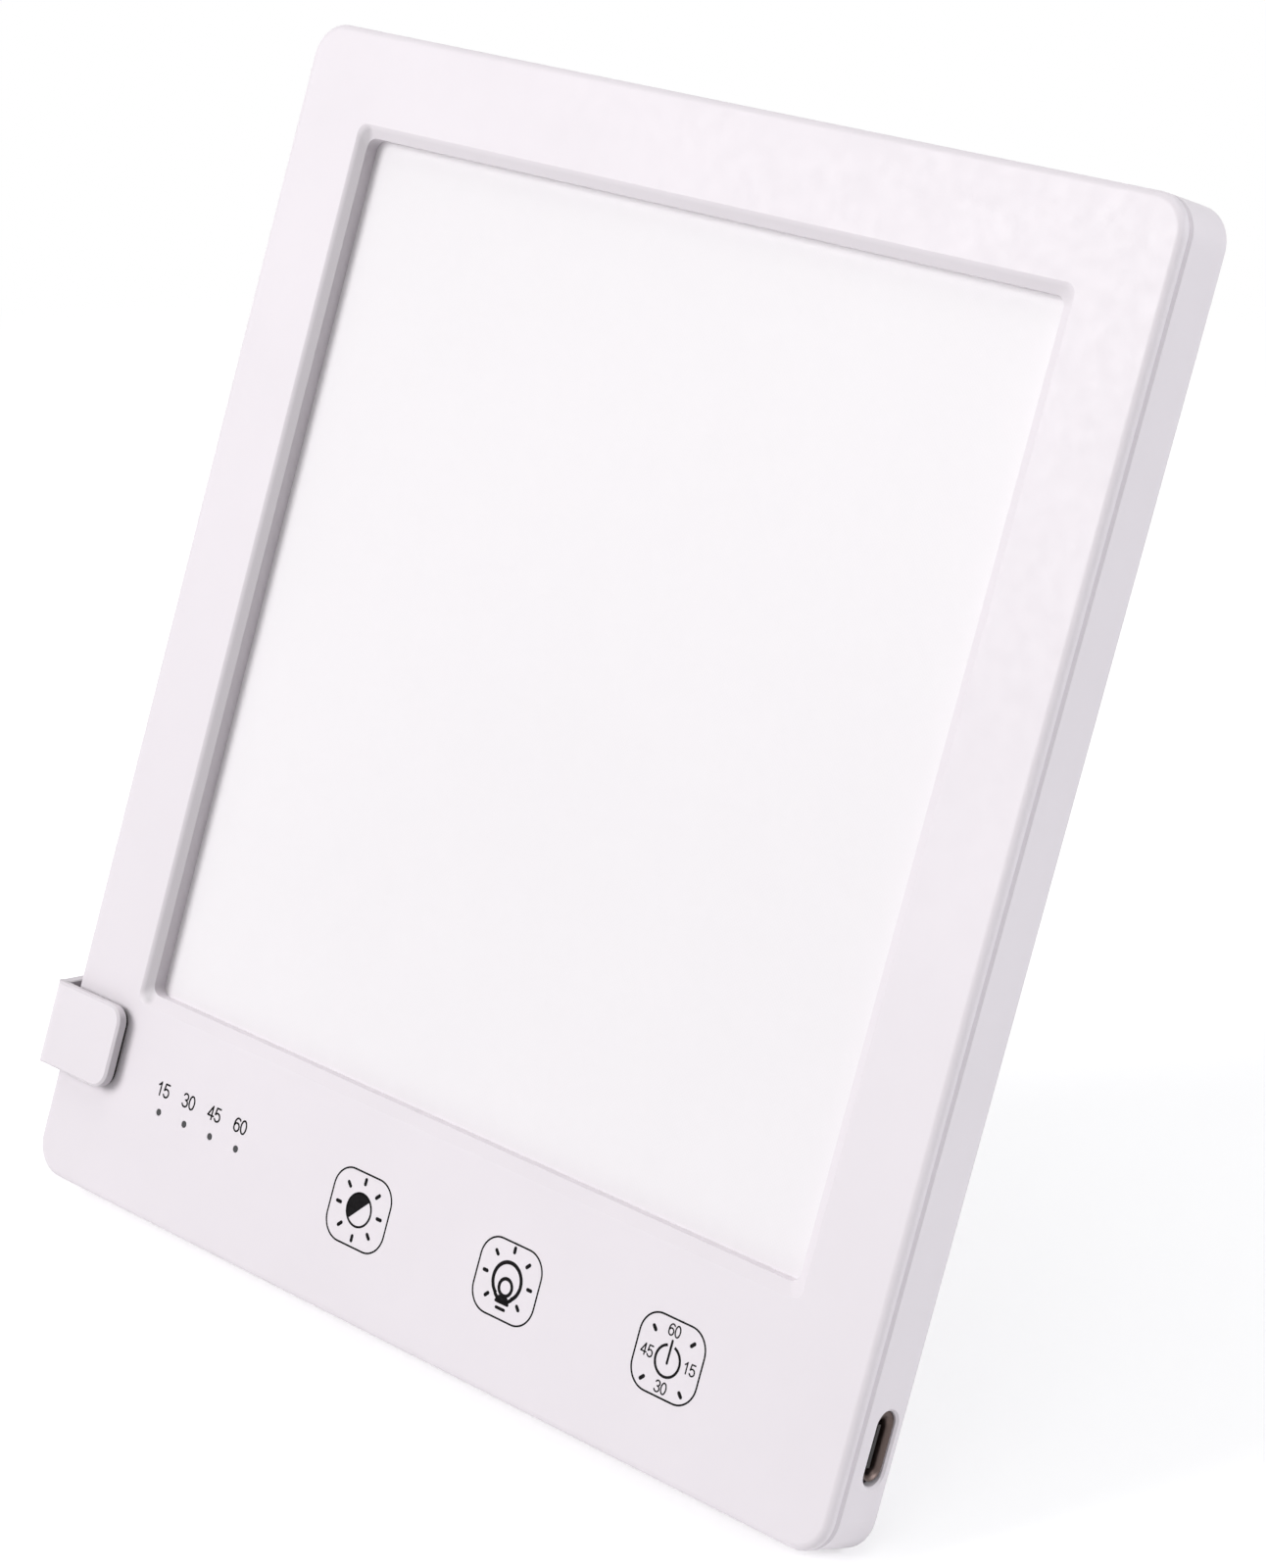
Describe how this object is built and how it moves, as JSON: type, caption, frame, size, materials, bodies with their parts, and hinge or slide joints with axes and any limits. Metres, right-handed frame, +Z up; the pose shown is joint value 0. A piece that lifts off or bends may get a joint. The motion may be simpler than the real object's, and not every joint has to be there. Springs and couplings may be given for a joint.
{
  "type": "light therapy lamp",
  "caption": "Slim desk light panel with an opal window, touch controls and timer marks, leaning on a clip-on side leg that folds flat.",
  "frame": {"origin": "centre of the footprint's bounding box on the table plane, with the lamp standing as in the picture", "axes": "+Z up, -Y towards the person who faces the lamp, +X to that person's right"},
  "size_m": [0.1832, 0.127, 0.1899],
  "materials": {
    "housing": "fine satin moulded finish",
    "diffuser": "opal sheet with a fine printed dot weave",
    "acrylic": "clear, polished edges",
    "reflector": "white film",
    "tray": "mill finish",
    "strip_board": "white solder mask",
    "led": "phosphor-filled lens",
    "lead": "smooth insulation",
    "control_board": "green solder mask",
    "connector": "natural nylon",
    "chip": "moulded black package",
    "ferrite": "pressed ferrite",
    "capacitor": "ceramic block",
    "conductive_foam": "soft conductive foam",
    "light_pipe": "smoked clear",
    "socket_steel": "drawn shell",
    "socket_plastic": "black insulator",
    "screw": "zinc plated",
    "stand": "fine satin moulded finish",
    "silicone": "black non-slip pad",
    "pin": "ground pin",
    "foot_rubber": "soft pale rubber"
  },
  "bodies": {
    "lamp": {"front_bezel": "housing", "back_cover": "housing", "diffuser": "diffuser", "light_guide": "acrylic", "reflector_sheet": "reflector", "led_tray": "tray", "strip_board_left": "strip_board", "strip_board_right": "strip_board", "strip_leds_left": "led", "strip_leds_right": "led", "strip_leads_left": "lead", "strip_leads_right": "lead", "control_board": "control_board", "lead_connectors": "connector", "controller_chips": "chip", "driver_inductor": "ferrite", "driver_capacitors": "capacitor", "touch_sensor_pads": "conductive_foam", "indicator_leds": "led", "indicator_light_pipe": "light_pipe", "usb_socket_shell": "socket_steel", "usb_socket_tongue": "socket_plastic", "board_screws": "screw", "case_screws": "screw"},
    "clip": {"stand_clip": "stand", "clip_front_liner": "silicone", "clip_rear_liner": "silicone", "hinge_pin": "pin"},
    "leg": {"stand_leg": "stand", "leg_foot_pad": "foot_rubber"}
  },
  "joints": [
    {"name": "clip_slide", "type": "slide", "parent": "lamp", "child": "clip", "axis": [-1, 0, 0], "range_m": [0, 0.02]},
    {"name": "leg_swing", "type": "hinge", "parent": "clip", "child": "leg", "pos_m": [-0.0891, -0.04074, 0.01428], "axis": [0, -0.3649, -0.9311], "range_deg": [0, 90]}
  ]
}
